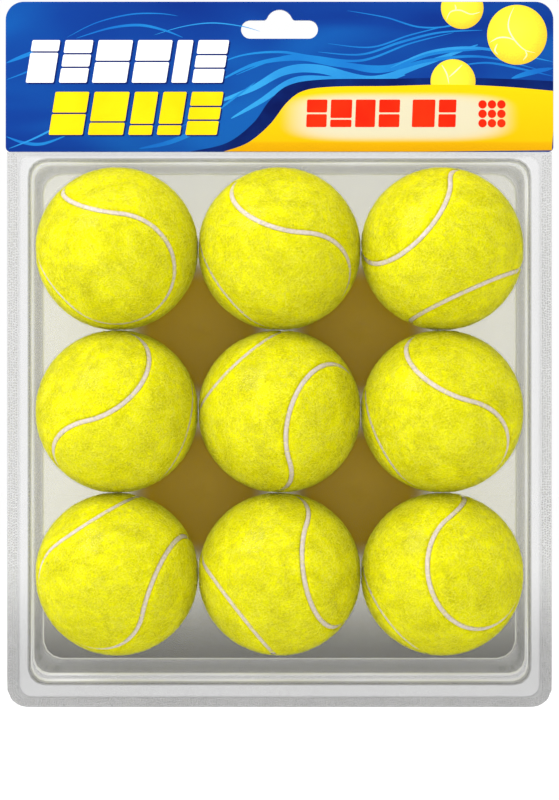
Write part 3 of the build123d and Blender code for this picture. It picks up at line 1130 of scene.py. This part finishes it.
blockRow("whiteRow", -105.0, -30.2, 17.6, [
    (11.5, 2.2, (0.72,)), (11.5, 2.2, (0.36, 0.68)), (14.2, 2.2, (0.5,)),
    (14.2, 2.2, (0.5,)), (6.4, 2.2, ()), (12.6, 0, (0.34, 0.66)),
], 0.16, whiteInk, True)
blockRow("yellowRow", -95.5, -51.8, 17.8, [
    (14.0, 2.2, (0.5,)), (14.5, 2.2, (0.3,)), (9.6, 2.2, (0.24,)),
    (9.6, 2.2, (0.24,)), (13.0, 0, (0.34, 0.66)),
], 0.16, yellowInk, True)
blockRow("redRow", 11.0, -48.6, 11.4, [
    (8.4, 1.5, (0.5,)), (8.8, 1.5, (0.3,)), (8.2, 1.5, ()), (8.6, 5.2, (0.5,)),
    (9.4, 1.5, ()), (7.2, 5.2, (0.5,)),
], 0.04, redInk, False)
for k in range(9):
    dotX, dotZ = 84.0 + (k % 3) * 3.9, -47.0 + (k // 3) * 3.9
    printShape("redDot%d" % (k + 1), arcPoints(dotX, dotZ, 1.75, 0, 360, 24)[:-1], 10, redInk)
print("header printed")


# stippled heat seal

stippleLook = {
    "size": 0.37, "tall": 0.2, "rows": 4, "firstRow": 0.75, "rowPitch": 1.0,
    "spacing": (0.9, 1.2), "jitter": 0.16, "packCorner": 8.3, "face": -0.49,
}


def stipple():
    # rows of small pressed bumps that follow the pack's edge, below the cards
    rng = np.random.default_rng(31)
    points, faces = [], []
    size, tall, jitter = (stippleLook[key] for key in ("size", "tall", "jitter"))
    for row in range(stippleLook["rows"]):
        inset = stippleLook["firstRow"] + row * stippleLook["rowPitch"]
        corner = stippleLook["packCorner"] - inset
        outline = insetOutline(inset, inset * 0.93, 0, corner, corner)
        half, low, radius = outline["half"], outline["low"], outline["lowRadius"]
        top = cardLow.z - 0.8
        straight = top - (low + radius)
        bend = radius * math.pi / 2
        lengths = [straight, bend, 2 * (half - radius), bend, straight]
        total = sum(lengths)
        along = 0.45 * (row % 2)
        while along < total:
            s = along
            along += rng.uniform(*stippleLook["spacing"])
            if s < lengths[0]:
                x, z = -half, top - s
            elif s < sum(lengths[:2]):
                a = math.radians(180) + (s - lengths[0]) / radius
                x, z = -half + radius + radius * math.cos(a), low + radius + radius * math.sin(a)
            elif s < sum(lengths[:3]):
                x, z = -half + radius + s - sum(lengths[:2]), low
            elif s < sum(lengths[:4]):
                a = math.radians(270) + (s - sum(lengths[:3])) / radius
                x, z = half - radius + radius * math.cos(a), low + radius + radius * math.sin(a)
            else:
                x, z = half, low + radius + s - sum(lengths[:4])
            x += rng.uniform(-jitter, jitter)
            z += rng.uniform(-jitter, jitter)
            base = len(points)
            turn = rng.uniform(0, 1)
            for wide, lift in ((size, 0.0), (size * 0.72, 0.7), (size * 0.3, 1.0)):
                y = stippleLook["face"] - lift * tall
                for k in range(6):
                    a = turn + k * math.pi / 3
                    points.append((x + wide * math.cos(a), y, z + wide * math.sin(a)))
            for ring in range(2):
                for k in range(6):
                    a, b = base + ring * 6 + k, base + ring * 6 + (k + 1) % 6
                    faces.append((a, b, b + 6, a + 6))
            faces.append(tuple(base + 12 + k for k in range(6)))
            faces.append(tuple(base + 5 - k for k in range(6)))
    addPiece("sealStipple", points, faces, "cover", stippleFrost)


stipple()
print("seal pressed")


# stage: floor, lights, camera

def matteMaterial(name, colour):
    material, tree, shader = blankMaterial(name)
    setSockets(shader, {"Base Color": (*colour, 1), "Roughness": 0.9})
    return material


floorLevel = cadBox[0][2] - 0.06
bpy.ops.mesh.primitive_plane_add(size=12, location=(0, 0, floorLevel))
floor = bpy.context.object
floor.name = "studioFloor"
floor.data.materials.append(matteMaterial("paleFloor", (0.99, 0.99, 0.99)))


def addLight(name, place, target, size, power):
    light = bpy.data.lights.new(name, "AREA")
    light.shape = "RECTANGLE"
    light.size, light.size_y = size
    light.energy = power
    holder = bpy.data.objects.new(name, light)
    bpy.context.scene.collection.objects.link(holder)
    holder.location = place
    direction = Vector(target) - Vector(place)
    holder.rotation_euler = direction.to_track_quat("-Z", "Y").to_euler()


packMiddle = (0, 0, -0.16)
studioLights = {
    # place, size in metres, power in watts
    "keyLight": ((-0.85, -0.75, 0.85), (0.8, 0.8), 15),
    "topLight": ((0.0, -0.2, 0.95), (1.0, 0.5), 1.5),
}
for name, (place, size, power) in studioLights.items():
    addLight(name, place, packMiddle, size, power)

world = bpy.data.worlds.new("studio")
world.use_nodes = True
backdrop = world.node_tree.nodes["Background"]
setSockets(backdrop, {"Color": (1, 1, 1, 1), "Strength": 1.0})
bpy.context.scene.world = world
bpy.context.scene.view_settings.view_transform = "Standard"

cameraLook = {"distance": 1.6, "seenHeight": 0.3312, "middle": -0.1615, "sensor": 36.0}
camera = bpy.data.objects.new("frontCamera", bpy.data.cameras.new("frontCamera"))
bpy.context.scene.collection.objects.link(camera)
camera.location = (0, -cameraLook["distance"], cameraLook["middle"])
camera.rotation_euler = (math.radians(90), 0, 0)
camera.data.sensor_width = cameraLook["sensor"]
camera.data.lens = cameraLook["sensor"] * cameraLook["distance"] / cameraLook["seenHeight"]
bpy.context.scene.camera = camera
print("stage set")
